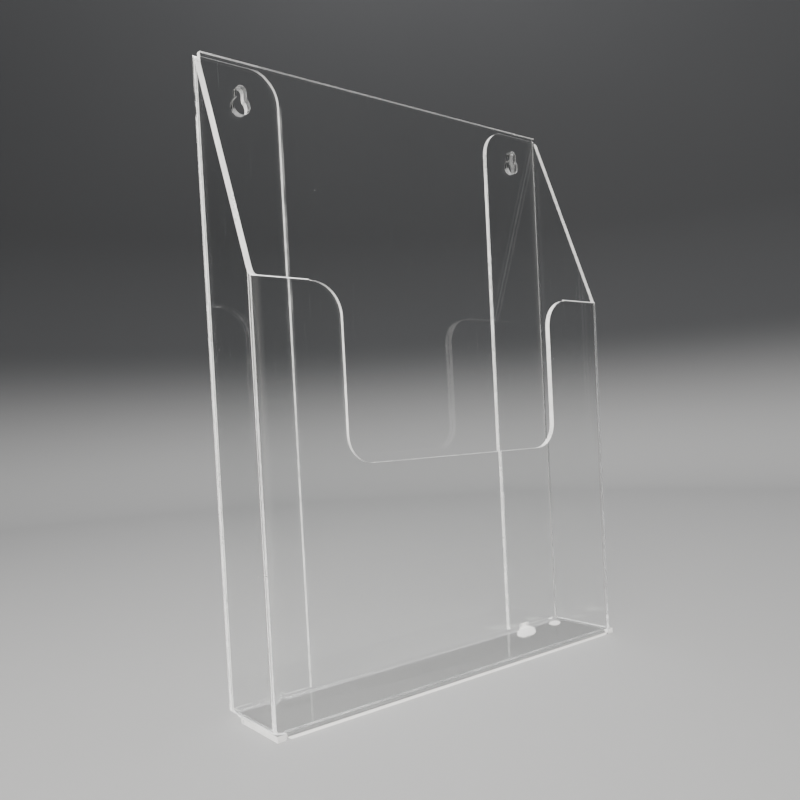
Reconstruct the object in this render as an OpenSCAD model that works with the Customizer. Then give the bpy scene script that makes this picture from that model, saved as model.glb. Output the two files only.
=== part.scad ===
// Magazine rack bent from two clear sheets.
// One sheet wraps round the front and sides, and its flanges fold in behind the back.
// The other makes the back and the base. X runs across the rack, the front faces -Y,
// the wall is at +Y and the rack stands on Z = 0, centred on the origin.

/* [Rack] */
// Overall width
rack_w = 240; // [200:1:320]
// Overall depth, from the front face to the wall
rack_d = 50; // [40:1:80]
// Overall height, up to the top edge of the back
rack_h = 320; // [290:1:400]
// Thickness of both sheets
sheet = 3; // [2:0.5:4]
// Inside radius of every bend
bend_r = 2; // [1:0.5:3]

/* [Front] */
// Height of the two ears
ear_h = 206; // [180:1:240]
// Width of each ear, beside the finger cut-out
ear_w = 47; // [40:1:60]
// Radius of each ear's inner corner
ear_r = 16; // [8:1:20]
// Height of the cut-out's bottom edge
cutout_z = 120; // [90:1:140]
// Radius of the cut-out's lower corners
cutout_r = 14; // [6:1:20]
// Distance from each side to the end of the lip that covers the base's front edge
lip_inset = 8; // [7:0.5:14]

/* [Sides] */
// Distance from the wall to the top of the slope
slope_top = 4.5; // [3:0.5:8]
// Distance from the front face to the foot of the slope
slope_foot = 3; // [2:0.5:6]
// Radius that eases the top of the slope
shoulder_r = 6; // [3:0.5:6]
// Radius that eases the foot of the slope
foot_r = 4; // [2:0.5:6]

/* [Flanges] */
// Width of each flange, from the rack's side to its inner edge
flange_w = 46; // [40:1:60]
// Distance from the back's top edge down to the flange's
flange_drop = 1; // [0:0.5:6]
// Radius of the flange's upper inner corner
flange_r = 16; // [8:1:20]

/* [Keyholes] */
// Distance from each side of the rack to its keyhole's centre
keyhole_inset = 24; // [20:1:26]
// Distance from the back's top edge down to the round opening that passes the screw's head
keyhole_drop = 21.5; // [20:0.5:60]
// Radius of the round opening
head_r = 4.5; // [4.5:0.5:6]
// Radius of the slot that holds the screw's neck
slot_r = 2.75; // [2:0.25:2.75]
// Distance from the round opening up to the slot's end
slot_rise = 7; // [6:0.5:9]

/* [Base] */
// Distance from the wall to where the base widens out under the side walls
notch_d = 13; // [10:0.5:20]
// Radius of the base's two rear corners
base_corner_r = 3; // [1:0.5:5]

/* [Cement] */
// Size of each cured bead, along both faces that it joins
bead = 1.2; // [0.8:0.1:2]

/* [Hidden] */
$fn = 64;
cut = 1;
outer_r = bend_r + sheet;
front_y = -rack_d / 2;
wall_y = rack_d / 2;
inner_w = rack_w - 2 * sheet;
flange_top = rack_h - flange_drop;
flange_x = rack_w / 2 - flange_w;
back_y = wall_y - 2 * sheet;
cutout_w = rack_w - 2 * ear_w;
slope_from = [front_y + slope_foot, ear_h];
slope_to = [wall_y - slope_top, flange_top];
slope_angle = atan2(slope_to[1] - slope_from[1], slope_to[0] - slope_from[0]);
clear_tint = [0.86, 0.92, 0.94, 0.35];
cement_tint = [0.95, 0.96, 0.97, 0.6];

// Extrudes a shape drawn in X and Z through the depth from y0 to y1
module through_depth(y0, y1)
    translate([0, y1, 0])
        rotate([90, 0, 0])
            linear_extrude(y1 - y0)
                children();

// Extrudes a shape drawn in Y and Z across a width that is centred on x
module across_width(x, w)
    translate([x - w / 2, 0, 0])
        rotate([90, 0, 90])
            linear_extrude(w)
                children();

// Draws its child on both sides of the rack
module both_sides() {
    children();
    mirror([1, 0, 0])
        children();
}

module rounded_rect(w, d, r) {
    square([w - 2 * r, d], center = true);
    square([w, d - 2 * r], center = true);
    for (x = [-1, 1], y = [-1, 1])
        translate([x * (w / 2 - r), y * (d / 2 - r)])
            circle(r);
}

// The waste in a square corner of side r, outside the arc that rounds it off
module corner_waste(r)
    difference() {
        square(r);
        circle(r);
    }

// Head and slot of one keyhole, round the centre of its head
module keyhole() {
    circle(head_r);
    translate([-slot_r, 0])
        square([2 * slot_r, slot_rise]);
    translate([0, slot_rise])
        circle(slot_r);
}

module keyholes()
    through_depth(back_y - cut, wall_y + cut)
        for (x = [-1, 1])
            translate([x * (rack_w / 2 - keyhole_inset), rack_h - keyhole_drop])
                keyhole();

// Plan of the wrap: a closed ring, open at the back between the flanges
module wrap_plan()
    difference() {
        rounded_rect(rack_w, rack_d, outer_r);
        rounded_rect(inner_w, rack_d - 2 * sheet, bend_r);
        translate([-flange_x, 0])
            square([2 * flange_x, rack_d]);
    }

// Everything above the side walls' sloping top edge, drawn in Y and Z
module above_slope() {
    shoulder_t = shoulder_r * tan(slope_angle / 2);
    foot_t = foot_r * tan(slope_angle / 2);
    along = [cos(slope_angle), sin(slope_angle)];
    difference() {
        polygon([
            [front_y - cut, ear_h],
            slope_from,
            slope_to,
            [wall_y + cut, flange_top],
            [wall_y + cut, rack_h + cut],
            [front_y - cut, rack_h + cut]
        ]);
        polygon([slope_from - [foot_t, 0], slope_from, slope_from + foot_t * along]);
    }
    translate([slope_from[0] - foot_t, ear_h + foot_r])
        circle(foot_r);
    difference() {
        polygon([slope_to - shoulder_t * along, slope_to, slope_to + [shoulder_t, 0]]);
        translate([slope_to[0] + shoulder_t, flange_top - shoulder_r])
            circle(shoulder_r);
    }
}

// The finger cut-out between the ears, drawn in X and Z
module finger_cutout() {
    translate([-cutout_w / 2, cutout_z + cutout_r])
        square([cutout_w, ear_h - cutout_z]);
    translate([-cutout_w / 2 + cutout_r, cutout_z])
        square([cutout_w - 2 * cutout_r, 2 * cutout_r]);
    both_sides() {
        translate([cutout_w / 2 - cutout_r, cutout_z + cutout_r])
            circle(cutout_r);
        translate([cutout_w / 2 + ear_r, ear_h - ear_r])
            mirror([1, 0])
                corner_waste(ear_r);
    }
}

// The front wall's lower edge, which hangs past the side walls and covers the base's edge
module front_lip()
    through_depth(front_y, front_y + sheet) {
        translate([-rack_w / 2 + lip_inset, 0])
            square([rack_w - 2 * lip_inset, 2 * sheet]);
        both_sides()
            intersection() {
                translate([rack_w / 2 - lip_inset, sheet])
                    circle(sheet);
                translate([rack_w / 2 - lip_inset, 0])
                    square([sheet, sheet]);
            }
    }

module front_wrap()
    color(clear_tint)
        difference() {
            union() {
                translate([0, 0, sheet])
                    linear_extrude(flange_top - sheet)
                        wrap_plan();
                front_lip();
            }
            across_width(0, rack_w + 2 * cut)
                above_slope();
            through_depth(front_y - cut, front_y + sheet + bend_r)
                finger_cutout();
            through_depth(back_y + sheet / 2, wall_y + cut)
                both_sides()
                    translate([flange_x + flange_r, flange_top - flange_r])
                        mirror([1, 0])
                            corner_waste(flange_r);
            keyholes();
        }

// Section through the bent back and base, drawn in Y and Z
module back_section() {
    bend_y = back_y - bend_r;
    translate([front_y, 0])
        square([bend_y - front_y, sheet]);
    translate([back_y, outer_r])
        square([sheet, rack_h - outer_r]);
    intersection() {
        translate([bend_y, 0])
            square(outer_r);
        difference() {
            translate([bend_y, outer_r])
                circle(outer_r);
            translate([bend_y, outer_r])
                circle(bend_r);
        }
    }
}

// Plan of the base's wide part, which lies under the side walls
module base_plan()
    difference() {
        translate([-rack_w / 2, front_y])
            square([rack_w, rack_d - notch_d]);
        both_sides()
            translate([rack_w / 2 - base_corner_r, wall_y - notch_d - base_corner_r])
                corner_waste(base_corner_r);
        translate([-rack_w / 2 + lip_inset - sheet, front_y - cut])
            square([rack_w - 2 * (lip_inset - sheet), sheet + cut]);
    }

module back_and_base()
    color(clear_tint)
        difference() {
            union() {
                intersection() {
                    across_width(0, inner_w)
                        back_section();
                    translate([-inner_w / 2, front_y + sheet, 0])
                        cube([inner_w, rack_d, rack_h]);
                }
                linear_extrude(sheet)
                    base_plan();
            }
            keyholes();
        }

// Section of one bead: a corner filled up to a hollow arc
module bead_section()
    difference() {
        square(bead);
        translate([bead, bead])
            circle(bead);
    }

module front_cement_bead()
    color(cement_tint)
        across_width(0, inner_w - 2 * bend_r)
            translate([front_y + sheet, sheet])
                bead_section();

module side_bead()
    through_depth(front_y + outer_r, back_y - bend_r)
        translate([inner_w / 2, sheet])
            mirror([1, 0])
                bead_section();

module left_cement_bead()
    color(cement_tint)
        mirror([1, 0, 0])
            side_bead();

module right_cement_bead()
    color(cement_tint)
        side_bead();

module flange_bead()
    translate([flange_x, back_y + sheet, outer_r])
        linear_extrude(flange_top - flange_r - outer_r)
            mirror([1, 0])
                bead_section();

module left_flange_bead()
    color(cement_tint)
        mirror([1, 0, 0])
            flange_bead();

module right_flange_bead()
    color(cement_tint)
        flange_bead();

front_wrap();
back_and_base();
front_cement_bead();
left_cement_bead();
right_cement_bead();
left_flange_bead();
right_flange_bead();
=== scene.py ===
# Clear magazine rack: two bent sheets and their cement, on a pale studio floor.
import math

import bmesh
import bpy
from mathutils import Euler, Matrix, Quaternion, Vector


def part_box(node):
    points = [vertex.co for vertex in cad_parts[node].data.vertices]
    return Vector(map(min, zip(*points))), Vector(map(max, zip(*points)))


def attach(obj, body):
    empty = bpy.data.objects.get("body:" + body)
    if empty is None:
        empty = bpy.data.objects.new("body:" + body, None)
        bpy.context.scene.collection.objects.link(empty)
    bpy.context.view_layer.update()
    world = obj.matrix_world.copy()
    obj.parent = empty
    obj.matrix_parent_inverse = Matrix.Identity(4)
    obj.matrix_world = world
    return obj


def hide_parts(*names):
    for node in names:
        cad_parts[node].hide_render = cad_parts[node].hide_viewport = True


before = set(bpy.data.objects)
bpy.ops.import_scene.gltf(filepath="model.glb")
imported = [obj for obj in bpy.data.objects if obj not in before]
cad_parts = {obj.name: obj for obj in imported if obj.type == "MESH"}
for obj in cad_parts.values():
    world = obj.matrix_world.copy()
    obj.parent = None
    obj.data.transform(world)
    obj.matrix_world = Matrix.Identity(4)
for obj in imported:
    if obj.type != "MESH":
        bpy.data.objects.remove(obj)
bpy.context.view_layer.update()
mm = 0.001


def noteSizes():
    wrapLow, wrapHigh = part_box("front_wrap")
    backLow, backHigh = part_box("back_and_base")
    beadLow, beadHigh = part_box("right_flange_bead")
    return {
        "halfWidth": wrapHigh[0],
        "frontY": wrapLow[1],
        "wallY": wrapHigh[1],
        "rearY": backHigh[1],  # rear of the back panel
        "sheet": wrapHigh[1] - backHigh[1],
        "flangeTop": wrapHigh[2],
        "backTop": backHigh[2],
        "flangeX": beadHigh[0],  # inner edge of the right flange
        "bendInside": 2 * mm,
        "filmGap": 0.03 * mm,  # left at each cemented face, on either side
    }


rack = noteSizes()
bendOutside = rack["bendInside"] + rack["sheet"]
past = 5 * mm  # how far a cutter runs past the sheet


# shader maths
class Socket:
    def __init__(self, recipe, socket):
        self.recipe = recipe
        self.socket = socket

    def math(self, operation, *others):
        sockets = dict(enumerate((self, *others)))
        return self.recipe.node("ShaderNodeMath", {"operation": operation}, sockets)

    def __add__(self, other):
        return self.math("ADD", other)

    def __radd__(self, other):
        return self.math("ADD", other)

    def __sub__(self, other):
        return self.math("SUBTRACT", other)

    def __rsub__(self, other):
        return (self * -1) + other

    def __mul__(self, other):
        return self.math("MULTIPLY", other)

    def __rmul__(self, other):
        return self.math("MULTIPLY", other)

    def __truediv__(self, other):
        return self.math("DIVIDE", other)

    def __pow__(self, other):
        return self.math("POWER", other)

    def __abs__(self):
        return self.math("ABSOLUTE")

    def __lt__(self, other):
        return self.math("LESS_THAN", other)

    def max(self, other):
        return self.math("MAXIMUM", other)


class Recipe:
    def __init__(self, name):
        self.material = bpy.data.materials.new(name)
        self.material.use_nodes = True
        self.tree = self.material.node_tree
        self.tree.nodes.clear()

    def node(self, kind, settings=None, sockets=None, output=0):
        made = self.tree.nodes.new(kind)
        for key, value in (settings or {}).items():
            setattr(made, key, value)
        for key, value in (sockets or {}).items():
            if isinstance(value, Socket):
                self.tree.links.new(value.socket, made.inputs[key])
            else:
                made.inputs[key].default_value = value
        return Socket(self, made.outputs[output]) if made.outputs else made

    def place(self):
        return self.node("ShaderNodeTexCoord", output="Object")

    def axis(self, index):
        return self.node("ShaderNodeSeparateXYZ", sockets={0: self.place()}, output=index)

    def noise(self, size, detail=3.0, upright=1.0):
        # size is the width of one blotch in metres, upright below 1 draws it out along Z
        where = self.node("ShaderNodeMapping", sockets={"Vector": self.place(), "Scale": (1, 1, upright)})
        sockets = {"Vector": where, "Scale": 1 / size, "Detail": detail, "Roughness": 0.5}
        return self.node("ShaderNodeTexNoise", sockets=sockets)

    def ramp(self, value, low, high):
        # 0 below low, 1 above high, smooth between them
        return self.node(
            "ShaderNodeMapRange",
            {"interpolation_type": "SMOOTHSTEP"},
            {"Value": value, "From Min": low, "From Max": high},
        )

    def blend(self, share, first, second):
        return self.node("ShaderNodeMix", {"data_type": "RGBA"}, {0: share, 6: first, 7: second}, output=2)

    def bump(self, height, depth):
        return self.node("ShaderNodeBump", sockets={"Height": height, "Distance": depth, "Strength": 1.0})

    def mix(self, share, first, second):
        return self.node("ShaderNodeMixShader", sockets={0: share, 1: first, 2: second})

    def finish(self, surface, passes=None):
        # passes is the tint that lamp light keeps when it goes through
        if passes is not None:
            lampRay = self.node("ShaderNodeLightPath", output="Is Shadow Ray")
            opening = self.node("ShaderNodeBsdfTransparent", sockets={"Color": passes})
            surface = self.mix(lampRay, surface, opening)
        self.node("ShaderNodeOutputMaterial", sockets={"Surface": surface})
        return self.material


def dustSpecks(recipe, cell, radius, share):
    # 1 on small round specks, which only a share of the cells have
    spread = {"Vector": recipe.place(), "Scale": 1 / cell}
    gap = recipe.node("ShaderNodeTexVoronoi", {"feature": "F1"}, spread, output="Distance")
    draw = recipe.node("ShaderNodeTexVoronoi", {"feature": "F1"}, spread, output="Color")
    pick = recipe.node("ShaderNodeSeparateXYZ", sockets={0: draw}, output=0) < share
    solid = 0.6 * radius
    return pick * (1 - recipe.ramp(gap, solid / cell, radius / cell))


# lengths in metres, the rest are roughness or shares from 0 to 1
clearLook = {
    "tint": (0.992, 0.994, 0.993, 1),
    "tintDeep": (0.984, 0.988, 0.986, 1),
    "passes": (0.978, 0.98, 0.98, 1),  # tint that lamp light keeps at each face
    # the milky white shows as the painted glow on the bends and the lip's foot, and in the white patches on
    # the base
    "milkyWhite": (0.95, 0.94, 0.92, 1),
    "dustTint": (0.86, 0.85, 0.83, 1),
    "ior": 1.491,
    "polish": 0.012,
    "smear": 0.05,
    "scratch": 0.10,
    "cloudSize": 0.11,
    "smearSize": 0.035,
    "smearRange": (0.52, 0.78),
    "scratchSize": 0.0011,
    "scratchRange": (0.69, 0.75),
    "streakSize": 0.02,
    "rippleSize": 0.06,
    "drawSize": 0.012,
    "rippleDepth": 0.00006,
    "drawShare": 0.3,  # how much of the ripple the bends add
    "dustCell": 0.011,
    "dustRadius": 0.00028,
    "dustShare": 0.14,
    "dustWhite": 0.7,
    "dustRough": 0.4,  # added to the milky white's
    "milkyRough": 0.45,
    "glowLeast": 0.6,
    "glowStreak": 0.8,
    "bendGlow": 0.012,
    "bendBlur": 0.03,
}


def makeClearSheet(name, bendMask, whiteMask):
    look = clearLook
    recipe = Recipe(name)
    cloudy = recipe.noise(look["cloudSize"], detail=2.0)
    smear = recipe.noise(look["smearSize"], detail=5.0, upright=0.35)
    wipe = recipe.ramp(smear, *look["smearRange"])
    scratch = recipe.noise(look["scratchSize"], detail=1.0, upright=0.03)
    hairline = recipe.ramp(scratch, *look["scratchRange"])
    dust = dustSpecks(recipe, look["dustCell"], look["dustRadius"], look["dustShare"])
    bend = bendMask(recipe)
    streak = recipe.noise(look["streakSize"], upright=0.12)
    roughness = look["polish"] + wipe * look["smear"] + hairline * look["scratch"] + bend * look["bendBlur"]
    ripple = recipe.noise(look["rippleSize"], detail=1.0)
    draw = recipe.noise(look["drawSize"], detail=0.0, upright=0.15)
    normal = recipe.bump(ripple + draw * bend * look["drawShare"], look["rippleDepth"])
    clear = recipe.node(
        "ShaderNodeBsdfPrincipled",
        sockets={
            "Base Color": recipe.blend(cloudy, look["tint"], look["tintDeep"]),
            "Roughness": roughness,
            "IOR": look["ior"],
            "Transmission Weight": 1.0,
            "Normal": normal,
        },
    )
    milk = recipe.node(
        "ShaderNodeBsdfPrincipled",
        sockets={
            "Base Color": recipe.blend(dust, look["milkyWhite"], look["dustTint"]),
            "Roughness": look["milkyRough"] + look["dustRough"] * dust,
            "Normal": normal,
        },
    )
    # painted glow: a faint white share on the bends stands in for the light piped round them
    bendGlowShare = bend * (look["glowLeast"] + look["glowStreak"] * streak) * look["bendGlow"]
    share = (dust * look["dustWhite"]).max(bendGlowShare).max(whiteMask(recipe))
    return recipe.finish(recipe.mix(share, clear, milk), look["passes"])


edgeLook = {
    "tone": (0.98, 0.98, 0.97, 1),
    "shade": (0.9, 0.895, 0.885, 1),
    "passes": (0.7, 0.7, 0.7, 1),
    "sawPitch": 0.0006,
    "sawDepth": 0.0001,
    "patchSize": 0.018,
    "patchRange": (0.35, 0.7),
    "streakSize": 0.005,
    "streakRange": (0.3, 0.7),
    "rough": 0.2,
    "patchRough": 0.2,
    "sawRough": 0.1,
    "white": 0.42,  # least white share of an edge
    "patchWhite": 0.15,
    "streakWhite": 0.2,
}


def makeCutEdge():
    look = edgeLook
    recipe = Recipe("satinCutEdge")
    saw = recipe.noise(look["sawPitch"], detail=2.0)
    streak = recipe.ramp(recipe.noise(look["streakSize"], detail=4.0), *look["streakRange"])
    polish = recipe.ramp(recipe.noise(look["patchSize"]), *look["patchRange"])
    normal = recipe.bump(saw, look["sawDepth"])
    roughness = look["rough"] + look["patchRough"] * polish + look["sawRough"] * saw
    glow = recipe.node(
        "ShaderNodeBsdfPrincipled",
        sockets={
            "Base Color": recipe.blend(polish, look["tone"], look["shade"]),
            "Roughness": roughness,
            "Normal": normal,
        },
    )
    clear = recipe.node(
        "ShaderNodeBsdfPrincipled",
        sockets={
            "Base Color": look["tone"],
            "Roughness": roughness,
            "IOR": clearLook["ior"],
            "Transmission Weight": 1.0,
            "Normal": normal,
        },
    )
    share = look["white"] + look["patchWhite"] * polish + look["streakWhite"] * streak
    return recipe.finish(recipe.mix(share, clear, glow), look["passes"])


cementLook = {
    "tint": (0.97, 0.98, 0.98, 1),
    "milkCool": (0.9, 0.91, 0.92, 1),
    "milkWarm": (0.97, 0.97, 0.96, 1),
    "blotSize": 0.02,
    "milkRange": (0.4, 0.65),
    "bubbleSize": 0.0008,
    "bubbleShare": 0.3,
    "depth": 0.00003,
    "rough": 0.04,
    "milkRough": 0.08,
    "whiteRough": 0.35,
    "bubbleRough": 0.3,
    "white": 0.02,  # least white share of a bead
    "milkWhite": 0.05,
}


def makeCement():
    look = cementLook
    recipe = Recipe("curedCement")
    blot = recipe.noise(look["blotSize"])
    bubble = recipe.noise(look["bubbleSize"], detail=2.0)
    normal = recipe.bump(bubble * look["bubbleShare"] + blot, look["depth"])
    milk = recipe.ramp(blot, *look["milkRange"])
    clear = recipe.node(
        "ShaderNodeBsdfPrincipled",
        sockets={
            "Base Color": look["tint"],
            "Roughness": look["rough"] + look["milkRough"] * milk,
            "IOR": clearLook["ior"],
            "Transmission Weight": 1.0,
            "Normal": normal,
        },
    )
    white = recipe.node(
        "ShaderNodeBsdfPrincipled",
        sockets={
            "Base Color": recipe.blend(milk, look["milkCool"], look["milkWarm"]),
            "Roughness": look["whiteRough"] + look["bubbleRough"] * bubble,
            "Normal": normal,
        },
    )
    share = look["white"] + look["milkWhite"] * milk
    return recipe.finish(recipe.mix(share, clear, white), clearLook["passes"])


def wrapBends(recipe):
    # 1 on the four upright bends
    half = bendOutside / 2
    sideStart = rack["halfWidth"] - bendOutside
    frontStart = rack["wallY"] - bendOutside
    across = recipe.ramp(abs(recipe.axis(0)), sideStart, sideStart + half)
    deep = recipe.ramp(abs(recipe.axis(1)), frontStart, frontStart + half)
    return across * deep


levelBend = {"solid": 0.6 * bendOutside, "gone": 1.25 * bendOutside, "share": 0.12}


def backBend(recipe):
    # faint on the level bend, whose blur, ripple and painted glow are weaker than on the upright bends
    solid, gone = levelBend["solid"], levelBend["gone"]
    low = 1 - recipe.ramp(recipe.axis(2), solid, gone)
    rear = recipe.ramp(recipe.axis(1), rack["rearY"] - gone, rack["rearY"] - solid)
    return low * rear * levelBend["share"]


paintedFootLine = {"solid": 1.3 * mm, "gone": 1.8 * mm, "depth": 0.5 * mm, "white": 0.9}


def paintedFootGlow(recipe):
    # painted glow: a white band along the lip's sawn foot stands in for the light that the sheet carries
    # down to it
    low = 1 - recipe.ramp(recipe.axis(2), paintedFootLine["solid"], paintedFootLine["gone"])
    front = recipe.axis(1) < rack["frontY"] + paintedFootLine["depth"]
    return low * front * paintedFootLine["white"]


whitePatchSpots = {
    "flangeFoot": (78.5 * mm, 11 * mm, 15.5 * mm, 6.5 * mm),  # x, y, half length, half width
    "rearCorner": (106 * mm, 11.5 * mm, 7.5 * mm, 4 * mm),
}
whitePatch = {
    "turn": math.radians(33),  # of both smears, from the X axis
    "top": 6 * mm,
    "raggedSize": 0.004,
    "ragged": 0.9,
    "fade": (1.0, 1.35),  # in smear radii, squared
    "white": 0.85,
}


def whiteBasePatches(recipe):
    # whitish patches on the base, near the right flange's foot and the right rear corner
    turnX, turnY = math.cos(whitePatch["turn"]), math.sin(whitePatch["turn"])
    ragged = recipe.noise(whitePatch["raggedSize"]) * whitePatch["ragged"]
    low = recipe.axis(2) < whitePatch["top"]
    found = 0
    for x, y, long, wide in whitePatchSpots.values():
        right, rear = recipe.axis(0) - x, recipe.axis(1) - y
        along = right * turnX + rear * turnY
        across = rear * turnX - right * turnY
        away = abs(along / long) ** 2 + abs(across / wide) ** 2
        found = (1 - recipe.ramp(away + ragged, *whitePatch["fade"])) + found
    return found * low * whitePatch["white"]


wrapClear = makeClearSheet("clearWrapSheet", wrapBends, paintedFootGlow)
backClear = makeClearSheet("clearBackSheet", backBend, whiteBasePatches)
cutEdge = makeCutEdge()
cement = makeCement()
print("materials made")


# modelling helpers
def deselectAll():
    if bpy.context.object and bpy.context.object.mode == "EDIT":
        bpy.ops.object.mode_set(mode="OBJECT")
    bpy.ops.object.select_all(action="DESELECT")


def selectWhere(obj, kind, test):
    # in edit mode, selects the faces, edges or vertices that pass the test
    mesh = bmesh.from_edit_mesh(obj.data)
    for part in (*mesh.verts, *mesh.edges, *mesh.faces):
        part.select = False
    for part in getattr(mesh, kind):
        if test(part):
            part.select_set(True)
    bmesh.update_edit_mesh(obj.data)


def near(value, target):
    touching = 0.01 * mm
    return abs(value - target) < touching


def useModifier(obj, kind, **settings):
    bpy.context.view_layer.objects.active = obj
    made = obj.modifiers.new(kind.lower(), kind)
    for key, value in settings.items():
        setattr(made, key, value)
    bpy.ops.object.modifier_apply(modifier=made.name)


def arc(centre, radius, start, stop, steps=16):
    # points on an arc, angles in degrees
    angles = [math.radians(start + (stop - start) * n / steps) for n in range(steps + 1)]
    return [(centre[0] + radius * math.cos(a), centre[1] + radius * math.sin(a)) for a in angles]


planes = {
    "X": lambda u, v, depth: Vector((depth, u, v)),
    "Y": lambda u, v, depth: Vector((u, depth, v)),
    "Z": lambda u, v, depth: Vector((u, v, depth)),
}


def makeCutter(outline, axis, low, high, finish=cutEdge):
    # draws a closed outline point by point, fills it and extrudes it from low to high
    put = planes[axis]
    deselectAll()
    bpy.ops.mesh.primitive_plane_add(size=mm, location=(0, 0, 0))
    cutter = bpy.context.object
    bpy.ops.object.mode_set(mode="EDIT")
    bpy.ops.mesh.select_mode(type="VERT")
    bpy.ops.mesh.select_all(action="SELECT")
    bpy.ops.mesh.merge(type="CENTER")
    bpy.ops.transform.translate(value=put(*outline[0], low))
    for (u0, v0), (u1, v1) in zip(outline, outline[1:]):
        step = put(u1 - u0, v1 - v0, 0)
        bpy.ops.mesh.extrude_vertices_move(TRANSFORM_OT_translate={"value": step})
    bpy.ops.mesh.select_all(action="SELECT")
    bpy.ops.mesh.edge_face_add()
    bpy.ops.mesh.extrude_region_move(TRANSFORM_OT_translate={"value": put(0, 0, high - low)})
    bpy.ops.mesh.select_all(action="SELECT")
    bpy.ops.mesh.normals_make_consistent(inside=False)
    bpy.ops.object.mode_set(mode="OBJECT")
    cutter.data.materials.append(finish)
    return cutter


def cutAway(piece, cutter):
    # the cut faces take the cutter's finish
    deselectAll()
    settings = {"operation": "DIFFERENCE", "solver": "EXACT", "material_mode": "TRANSFER"}
    useModifier(piece, "BOOLEAN", object=cutter, **settings)
    bpy.data.objects.remove(cutter, do_unlink=True)


finishing = {
    "mergeGap": 0.002 * mm,
    "easedEdge": 0.22 * mm,
    "easeSteps": 2,
    "easeAbove": math.radians(50),
    "smoothBelow": math.radians(35),
}


def finishSheet(piece, node):
    # eases every cut edge and keeps the flat panels flat
    deselectAll()
    piece.select_set(True)
    bpy.context.view_layer.objects.active = piece
    bpy.ops.object.mode_set(mode="EDIT")
    bpy.ops.mesh.select_all(action="SELECT")
    bpy.ops.mesh.remove_doubles(threshold=finishing["mergeGap"])
    bpy.ops.mesh.normals_make_consistent(inside=False)
    bpy.ops.object.mode_set(mode="OBJECT")
    useModifier(
        piece,
        "BEVEL",
        width=finishing["easedEdge"],
        segments=finishing["easeSteps"],
        limit_method="ANGLE",
        angle_limit=finishing["easeAbove"],
        material=1,
        use_clamp_overlap=True,
    )
    bpy.ops.object.shade_smooth_by_angle(angle=finishing["smoothBelow"])
    useModifier(piece, "WEIGHTED_NORMAL", mode="FACE_AREA", weight=100, keep_sharp=True)
    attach(piece, "root")
    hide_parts(node)
    print(piece.name, "has", len(piece.data.polygons), "faces")


keyhole = {
    "inset": 24 * mm,  # from the rack's side to the centre
    "drop": 21.5 * mm,  # from the back's top edge to the round opening
    "headRadius": 4.5 * mm,
    "slotRadius": 2.75 * mm,
    "slotRise": 7 * mm,
    "neckRadius": 0.8 * mm,
    "headSteps": 40,
    "slotSteps": 20,
    "neckSteps": 6,
}


def keyholeOutline(x):
    head, slot, neck = keyhole["headRadius"], keyhole["slotRadius"], keyhole["neckRadius"]
    z = rack["backTop"] - keyhole["drop"]
    neckX = slot + neck
    neckZ = math.sqrt((head + neck) ** 2 - neckX**2)
    lean = math.degrees(math.atan2(neckZ, neckX))
    slotZ = z + keyhole["slotRise"]
    return (
        arc((x, z), head, 180 - lean, 360 + lean, keyhole["headSteps"])
        + arc((x + neckX, z + neckZ), neck, 180 + lean, 180, keyhole["neckSteps"])
        + arc((x, slotZ), slot, 0, 180, keyhole["slotSteps"])
        + arc((x - neckX, z + neckZ), neck, 0, -lean, keyhole["neckSteps"])[:-1]
    )


def cutKeyholes(piece, finish):
    # the hole's wall is polished, and only the eased rim stays satin
    low, high = rack["rearY"] - 2 * rack["sheet"], rack["wallY"] + rack["sheet"]
    for side in (-1, 1):
        outline = keyholeOutline(side * (rack["halfWidth"] - keyhole["inset"]))
        cutAway(piece, makeCutter(outline, "Y", low, high, finish))


# the sheet that wraps round the front and sides
wrap = {
    "earHeight": 206 * mm,
    "earWidth": 47 * mm,
    "earRadius": 16 * mm,
    "cutoutHeight": 120 * mm,
    "cutoutRadius": 14 * mm,
    "lipInset": 8 * mm,
    "slopeTop": 4.5 * mm,  # from the wall to the top of the slope
    "slopeFoot": 3 * mm,
    "shoulderRadius": 6 * mm,
    "shoulderSteps": 12,
    "footRadius": 4 * mm,
    "footSteps": 10,
    "lipSteps": 10,
    "flangeRadius": 16 * mm,
    "bendSteps": 14,
}


def slopeOutline():
    # everything above the side walls, from the front to the wall
    foot = Vector((rack["frontY"] + wrap["slopeFoot"], wrap["earHeight"]))
    top = Vector((rack["wallY"] - wrap["slopeTop"], rack["flangeTop"]))
    angle = math.degrees(math.atan2(top.y - foot.y, top.x - foot.x))
    half = math.tan(math.radians(angle / 2))
    footCentre = (foot.x - wrap["footRadius"] * half, foot.y + wrap["footRadius"])
    topCentre = (top.x + wrap["shoulderRadius"] * half, top.y - wrap["shoulderRadius"])
    before, behind, above = rack["frontY"] - 2 * past, rack["wallY"] + 2 * past, top.y + 6 * past
    return (
        [(before, foot.y)]
        + arc(footCentre, wrap["footRadius"], -90, angle - 90, wrap["footSteps"])
        + arc(topCentre, wrap["shoulderRadius"], 90 + angle, 90, wrap["shoulderSteps"])
        + [(behind, top.y), (behind, above), (before, above)]
    )


def gapOutline(halfGap, foot, top, topRadius):
    # a gap whose upper corners round away from it, with foot its lower points on the right
    right = foot + arc((halfGap + topRadius, top - topRadius), topRadius, 180, 90)
    right.append((halfGap + topRadius, top + 2 * past))
    return right + [(-x, z) for x, z in reversed(right)]


def lipCornerOutline(side):
    # what is cut from below a side wall, up to the lip's rounded end
    lipEnd = rack["halfWidth"] - wrap["lipInset"]
    raised = rack["sheet"] + rack["filmGap"]
    reach = rack["halfWidth"] + 2 * past
    curve = arc((lipEnd, raised), raised, 0, -90, wrap["lipSteps"])
    points = [(reach, raised)] + curve + [(lipEnd, -past), (reach, -past)]
    return [(side * x, z) for x, z in points]


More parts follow.
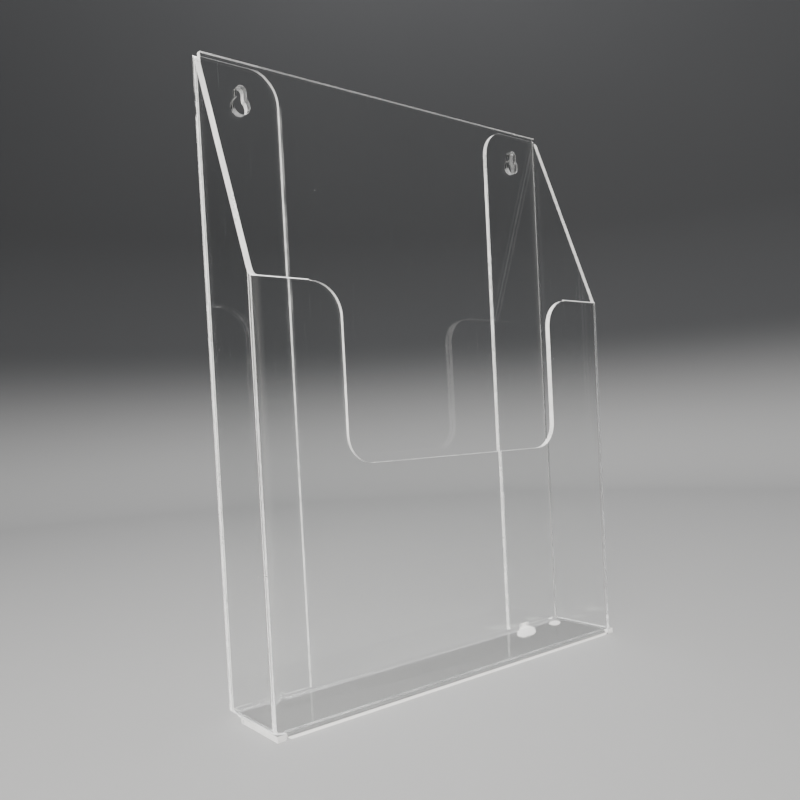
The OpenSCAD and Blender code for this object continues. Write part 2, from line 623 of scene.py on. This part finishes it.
def makeWrap():
    tall = rack["flangeTop"] + 2 * past
    deselectAll()
    bpy.ops.mesh.primitive_plane_add(
        size=1,
        location=(0, rack["frontY"], tall / 2),
        rotation=(math.radians(90), 0, 0),
    )
    piece = bpy.context.object
    piece.name = "frontWrap"
    piece.scale = (2 * rack["halfWidth"], tall, 1)
    bpy.ops.object.transform_apply(location=True, rotation=True, scale=True)
    bpy.ops.object.mode_set(mode="EDIT")
    bpy.ops.mesh.select_mode(type="EDGE")
    depth = rack["wallY"] - rack["frontY"]
    flange = rack["halfWidth"] - rack["flangeX"] + past
    for side in (1, -1):
        selectWhere(piece, "edges", lambda e: all(near(v.co.x, side * rack["halfWidth"]) for v in e.verts))
        bpy.ops.mesh.extrude_region_move(TRANSFORM_OT_translate={"value": (0, depth, 0)})
        bpy.ops.mesh.extrude_region_move(TRANSFORM_OT_translate={"value": (-side * flange, 0, 0)})
    selectWhere(
        piece,
        "edges",
        lambda e: all(near(abs(v.co.x), rack["halfWidth"]) for v in e.verts)
        and near(e.verts[0].co.y, e.verts[1].co.y),
    )
    bpy.ops.mesh.bevel(offset=bendOutside, segments=wrap["bendSteps"], profile=0.5, affect="EDGES")
    bpy.ops.object.mode_set(mode="OBJECT")
    piece.data.materials.append(wrapClear)
    piece.data.materials.append(cutEdge)
    useModifier(
        piece,
        "SOLIDIFY",
        thickness=rack["sheet"] - rack["filmGap"],
        offset=-1,
        use_even_offset=True,
        material_offset_rim=1,
    )
    before, behind = rack["frontY"] - past, rack["wallY"] + past
    aside = rack["halfWidth"] + 2 * past
    cutAway(piece, makeCutter(slopeOutline(), "X", -aside, aside))
    halfGap, radius = rack["halfWidth"] - wrap["earWidth"], wrap["cutoutRadius"]
    foot = arc((halfGap - radius, wrap["cutoutHeight"] + radius), radius, -90, 0)
    fingerGap = gapOutline(halfGap, foot, wrap["earHeight"], wrap["earRadius"])
    cutAway(piece, makeCutter(fingerGap, "Y", before, rack["frontY"] + 2 * rack["sheet"]))
    flangeEdge = rack["flangeX"] + rack["filmGap"]
    foot = [(flangeEdge, -2 * past)]
    flangeGap = gapOutline(flangeEdge, foot, rack["flangeTop"], wrap["flangeRadius"])
    cutAway(piece, makeCutter(flangeGap, "Y", rack["rearY"] - rack["sheet"], behind))
    for side in (-1, 1):
        cutAway(piece, makeCutter(lipCornerOutline(side), "Y", before, behind))
    raised = rack["sheet"] + rack["filmGap"]
    inner = rack["halfWidth"] - 2 * rack["sheet"]
    below = [(-inner, -past), (inner, -past), (inner, raised), (-inner, raised)]
    cutAway(piece, makeCutter(below, "Y", rack["frontY"] + 2 * past, behind))
    cutKeyholes(piece, wrapClear)
    finishSheet(piece, "front_wrap")


makeWrap()
print("wrap made")


# the sheet that makes the back and the base
back = {
    "notchDepth": 13 * mm,  # from the wall to where the base widens
    "cornerRadius": 3 * mm,
    "cornerSteps": 8,
    "lipPlay": 0.2 * mm,  # beside the wrap's lip
    "bendSteps": 14,
}


def notchOutline(side):
    # the strip cut from beside the back, down to the base's rounded rear corner
    inner = rack["halfWidth"] - rack["sheet"] - rack["filmGap"]
    radius = back["cornerRadius"]
    notchY = rack["wallY"] - back["notchDepth"]
    reach, behind = rack["halfWidth"] + 2 * past, rack["wallY"] + 2 * past
    curve = arc((rack["halfWidth"] - radius, notchY - radius), radius, 90, 0, back["cornerSteps"])
    points = [(inner, behind), (inner, notchY)] + curve + [(reach, notchY - radius), (reach, behind)]
    return [(side * x, y) for x, y in points]


def makeBack():
    rearY = rack["rearY"] - rack["filmGap"]
    deselectAll()
    bpy.ops.mesh.primitive_plane_add(
        size=1,
        location=(0, rearY, rack["backTop"] / 2),
        rotation=(math.radians(-90), 0, 0),
    )
    piece = bpy.context.object
    piece.name = "backAndBase"
    piece.scale = (2 * rack["halfWidth"], rack["backTop"], 1)
    bpy.ops.object.transform_apply(location=True, rotation=True, scale=True)
    bpy.ops.object.mode_set(mode="EDIT")
    bpy.ops.mesh.select_mode(type="EDGE")
    selectWhere(piece, "edges", lambda e: all(near(v.co.z, 0) for v in e.verts))
    bpy.ops.mesh.extrude_region_move(TRANSFORM_OT_translate={"value": (0, rack["frontY"] - rearY, 0)})
    selectWhere(piece, "edges", lambda e: all(near(v.co.z, 0) and near(v.co.y, rearY) for v in e.verts))
    bpy.ops.mesh.bevel(offset=bendOutside, segments=back["bendSteps"], profile=0.5, affect="EDGES")
    bpy.ops.object.mode_set(mode="OBJECT")
    piece.data.materials.append(backClear)
    piece.data.materials.append(cutEdge)
    useModifier(
        piece,
        "SOLIDIFY",
        thickness=rack["sheet"] - rack["filmGap"],
        offset=-1,
        use_even_offset=True,
        material_offset_rim=1,
    )
    above = rack["backTop"] + past
    for side, finish in ((-1, cutEdge), (1, backClear)):  # the right edge gets the clear finish instead of the satin white, as painted shade that keeps it dim like an unlit edge
        cutAway(piece, makeCutter(notchOutline(side), "Z", -past, above, finish))
    lipEnd = rack["halfWidth"] - wrap["lipInset"] + rack["sheet"] + back["lipPlay"]
    lipY = rack["frontY"] + rack["sheet"] + rack["filmGap"]
    before = rack["frontY"] - past
    front = [(-lipEnd, before), (lipEnd, before), (lipEnd, lipY), (-lipEnd, lipY)]
    # cemented to the lip, so this edge stays clear
    cutAway(piece, makeCutter(front, "Z", -past, 2 * past, backClear))
    cutKeyholes(piece, backClear)
    finishSheet(piece, "back_and_base")


makeBack()
print("back and base made")

for place in ("front_cement", "left_cement", "right_cement", "left_flange", "right_flange"):
    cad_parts[place + "_bead"].material_slots[0].material = cement
print("beads finished")


# angles in radians, turn counted to the right from straight at the wall
camera = {
    "place": (-0.28843, -0.33549, 0.13983),
    "turn": 0.6696,
    "tilt": -0.0306,
    "roll": -0.0507,
    "lens": 35.88,
    "shift": (0, 0.056),
    "nearest": 0.01,
}


def makeCamera():
    data = bpy.data.cameras.new("studioCamera")
    data.lens = camera["lens"]
    data.shift_x, data.shift_y = camera["shift"]
    data.clip_start = camera["nearest"]
    obj = bpy.data.objects.new("studioCamera", data)
    aim = Euler((math.pi / 2 + camera["tilt"], 0, -camera["turn"])).to_quaternion()
    obj.rotation_mode = "QUATERNION"
    obj.rotation_quaternion = aim @ Quaternion((0, 0, 1), camera["roll"])
    obj.location = camera["place"]
    bpy.context.collection.objects.link(obj)
    bpy.context.scene.camera = obj


studio = {
    "radius": 1.6,
    "sides": 96,
    "wall": 2.3,
    "sweep": 0.6,
    "sweepSteps": 24,
    "paper": (0.34, 0.34, 0.34, 1),
    "paperFar": (0.045, 0.046, 0.048, 1),
    "fadeTop": 0.34,  # height at which the sweep is darkest
    "paperRough": 0.75,
    "driftRough": 0.1,
    "grainSize": 0.0015,
    "grainDepth": 0.00002,
    "driftSize": 0.6,
    "sky": (0.98, 0.99, 1.0, 1),
    "skyStrength": 0.45,
}


def makeStudio():
    deselectAll()
    bpy.ops.mesh.primitive_circle_add(
        vertices=studio["sides"],
        radius=studio["radius"],
        fill_type="NGON",
    )
    floor = bpy.context.object
    floor.name = "studioFloor"
    bpy.ops.object.mode_set(mode="EDIT")
    bpy.ops.mesh.select_mode(type="EDGE")
    bpy.ops.mesh.select_all(action="SELECT")
    bpy.ops.mesh.region_to_loop()
    bpy.ops.mesh.extrude_region_move(TRANSFORM_OT_translate={"value": (0, 0, studio["wall"])})
    selectWhere(floor, "edges", lambda e: all(near(v.co.z, 0) for v in e.verts))
    steps = studio["sweepSteps"]
    bpy.ops.mesh.bevel(offset=studio["sweep"], segments=steps, profile=0.5, affect="EDGES")
    bpy.ops.object.mode_set(mode="OBJECT")
    bpy.ops.object.shade_smooth()
    useModifier(floor, "WEIGHTED_NORMAL", mode="FACE_AREA", weight=100)
    recipe = Recipe("palePaper")
    grain = recipe.noise(studio["grainSize"], detail=2.0)
    drift = recipe.noise(studio["driftSize"], detail=2.0)
    fade = recipe.ramp(recipe.axis(2), 0.0, studio["fadeTop"])
    paper = recipe.node(
        "ShaderNodeBsdfPrincipled",
        sockets={
            "Base Color": recipe.blend(fade, studio["paper"], studio["paperFar"]),
            "Roughness": studio["paperRough"] + studio["driftRough"] * drift,
            "Normal": recipe.bump(grain, studio["grainDepth"]),
        },
    )
    floor.data.materials.append(recipe.finish(paper))


# place, width and height, watts, colour, spread in degrees
lamps = {
    "keyLamp": ((-1.1, -0.9, 1.9), (0.9, 0.9), 22, (1.0, 0.97, 0.93), 180),
    "topLamp": ((0.1, 0.2, 2.1), (1.2, 1.2), 12, (1.0, 1.0, 1.0), 180),
    "rearLamp": ((0.8, 0.9, 1.9), (0.8, 0.6), 22, (0.97, 0.98, 1.0), 180),
    "edgeLamp": ((-1.2, -0.72, 0.55), (0.7, 0.5), 14, (1.0, 0.98, 0.95), 80),
}
lampAim = Vector((0, 0, 0.15))
hiddenLamp = "edgeLamp"  # low, so the sheets neither mirror it nor show it


def makeLamp(name, place, size, power, tint, spread):
    data = bpy.data.lights.new(name, "AREA")
    data.shape = "RECTANGLE"
    data.size, data.size_y = size
    data.energy = power
    data.color = tint
    data.spread = math.radians(spread)
    obj = bpy.data.objects.new(name, data)
    obj.location = place
    obj.rotation_euler = (lampAim - Vector(place)).to_track_quat("-Z", "Y").to_euler()
    obj.visible_glossy = name != hiddenLamp
    obj.visible_transmission = name != hiddenLamp
    bpy.context.collection.objects.link(obj)


def makeLight():
    world = bpy.data.worlds.new("softRoom")
    world.use_nodes = True
    sky = world.node_tree.nodes["Background"]
    sky.inputs["Color"].default_value = studio["sky"]
    sky.inputs["Strength"].default_value = studio["skyStrength"]
    bpy.context.scene.world = world
    for name, settings in lamps.items():
        makeLamp(name, *settings)


makeCamera()
makeStudio()
makeLight()
# light runs far inside the sheets before it leaves at an edge
bounces, clearLayers = 64, 32
cycles = bpy.context.scene.cycles
cycles.max_bounces = bounces
cycles.glossy_bounces = bounces
cycles.transmission_bounces = bounces
cycles.transparent_max_bounces = clearLayers
print("studio ready")
